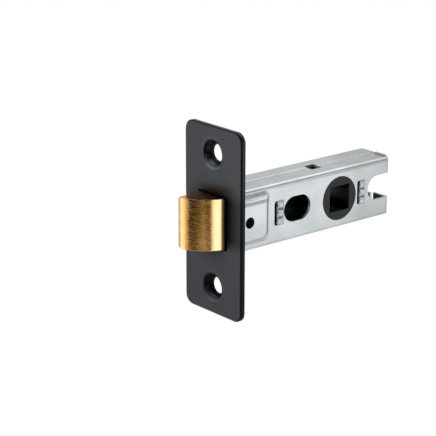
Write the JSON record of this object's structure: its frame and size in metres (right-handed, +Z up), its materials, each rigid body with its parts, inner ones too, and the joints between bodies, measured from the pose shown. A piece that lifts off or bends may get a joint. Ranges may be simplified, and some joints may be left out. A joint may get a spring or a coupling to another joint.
{
  "type": "tubular door latch",
  "caption": "Tubular mortice door latch with a sprung bevelled brass bolt, a square spindle follower and a bolt-through case behind a dished black faceplate.",
  "frame": {"origin": "centre of the faceplate's front face, on the bolt's axis, where it is flush with the door's edge", "axes": "+X back into the door along the case, +Y towards the bolt's flat locking side, +Z up along the faceplate"},
  "size_m": [0.075, 0.0254, 0.057],
  "materials": {
    "black_plate": "satin black powder coat",
    "zinc_steel": "zinc plated, satin",
    "brass": "brushed",
    "bare_steel": "bright",
    "spring_steel": "oiled",
    "black_steel": "black oxide on sintered steel"
  },
  "bodies": {
    "case": {"faceplate": "black_plate", "case_near_shell": "zinc_steel", "case_far_shell": "zinc_steel", "front_cross_plate": "zinc_steel", "rear_cross_plate": "zinc_steel", "spring_guide_upper": "bare_steel", "spring_guide_lower": "bare_steel", "bolt_spring_upper": "spring_steel", "bolt_spring_lower": "spring_steel"},
    "bolt": {"latch_bolt": "brass", "bolt_tail": "zinc_steel"},
    "follower": {"follower": "black_steel"}
  },
  "joints": [
    {"name": "follower_turn", "type": "hinge", "parent": "case", "child": "follower", "pos_m": [0.04445, 0, 0], "axis": [0, 1, 0], "range_deg": [0, 70]},
    {"name": "bolt_slide", "type": "slide", "parent": "case", "child": "bolt", "axis": [1, 0, 0], "range_m": [0, 0.00905], "stiffness_N_per_m": 900, "springref_m": -0.008, "deforming": ["bolt_spring_upper", "bolt_spring_lower"]}
  ],
  "couplings": [
    {"joint": "follower_turn", "follows": "bolt_slide", "rad_per_m": 134.95}
  ]
}
